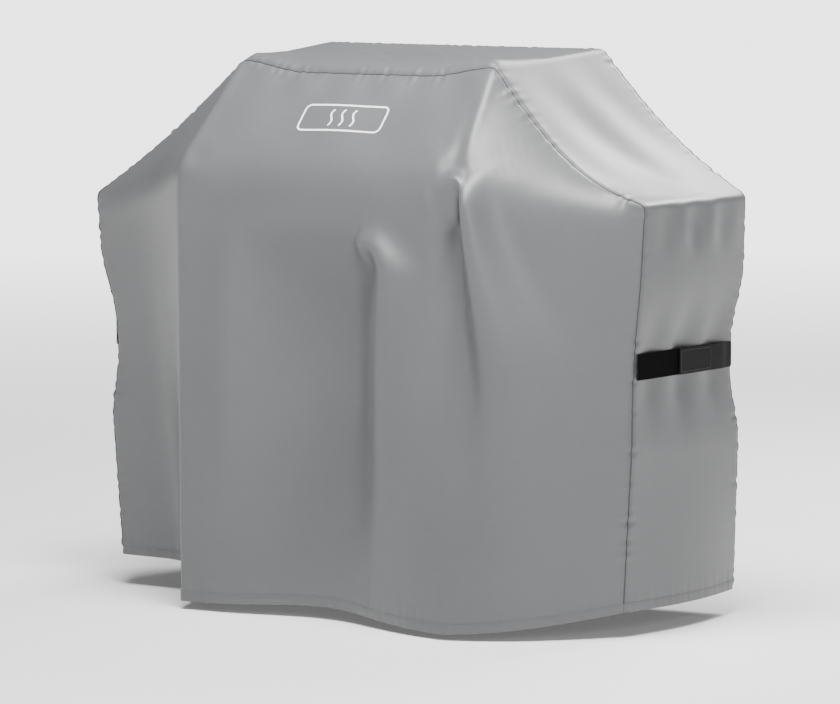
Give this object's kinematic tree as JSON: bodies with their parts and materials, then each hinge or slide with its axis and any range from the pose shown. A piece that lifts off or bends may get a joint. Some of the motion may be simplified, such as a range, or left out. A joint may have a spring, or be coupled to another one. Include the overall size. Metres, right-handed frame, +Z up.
{
  "type": "fitted grill cover",
  "caption": "Fitted grey woven-cloth cover for a cart grill, with a raised lid, side-shelf shoulders, a turned hem and a hook-and-loop cinch strap on each side.",
  "frame": {"origin": "centre of the cover's footprint, on the level of the lower edge of the hem", "axes": "+X across the width to the right of someone facing the front, the front faces -Y, +Z up"},
  "size_m": [1.298, 0.6023, 1.0765],
  "materials": {
    "cover_cloth": "satin",
    "thread": "satin",
    "white_print": "matte",
    "strap_webbing": "satin",
    "loop_tape": "matte",
    "hook_tape": "matte"
  },
  "bodies": {
    "cover": {"front_panel": "cover_cloth", "back_panel": "cover_cloth", "side_and_top_panel": "cover_cloth", "front_hem": "cover_cloth", "right_hem": "cover_cloth", "back_hem": "cover_cloth", "left_hem": "cover_cloth", "front_seam_stitching": "thread", "back_seam_stitching": "thread", "hem_stitching": "thread", "printed_emblem": "white_print", "right_front_bar_tack": "thread", "right_rear_bar_tack": "thread", "left_front_bar_tack": "thread", "left_rear_bar_tack": "thread"},
    "right_webbing": {"right_strap_webbing": "strap_webbing", "right_hook_patch": "hook_tape", "right_patch_stitching": "thread"},
    "right_loop": {"right_loop_tape": "loop_tape"},
    "left_webbing": {"left_strap_webbing": "strap_webbing", "left_hook_patch": "hook_tape", "left_patch_stitching": "thread"},
    "left_loop": {"left_loop_tape": "loop_tape"}
  },
  "joints": [
    {"name": "right_strap_open", "type": "hinge", "parent": "cover", "child": "right_webbing", "pos_m": [0.6273, 0.249, 0.485], "axis": [0, 0, 1], "range_deg": [0, 150]},
    {"name": "right_loop_lift", "type": "hinge", "parent": "cover", "child": "right_loop", "pos_m": [0.6273, -0.084, 0.485], "axis": [0, 0, -1], "range_deg": [0, 22.5]},
    {"name": "left_strap_open", "type": "hinge", "parent": "cover", "child": "left_webbing", "pos_m": [-0.6273, 0.249, 0.485], "axis": [0, 0, -1], "range_deg": [0, 150]},
    {"name": "left_loop_lift", "type": "hinge", "parent": "cover", "child": "left_loop", "pos_m": [-0.6273, -0.084, 0.485], "axis": [0, 0, 1], "range_deg": [0, 22.5]}
  ],
  "couplings": [
    {"joint": "right_loop_lift", "follows": "right_strap_open", "ratio": 0.15},
    {"joint": "left_loop_lift", "follows": "left_strap_open", "ratio": 0.15}
  ]
}
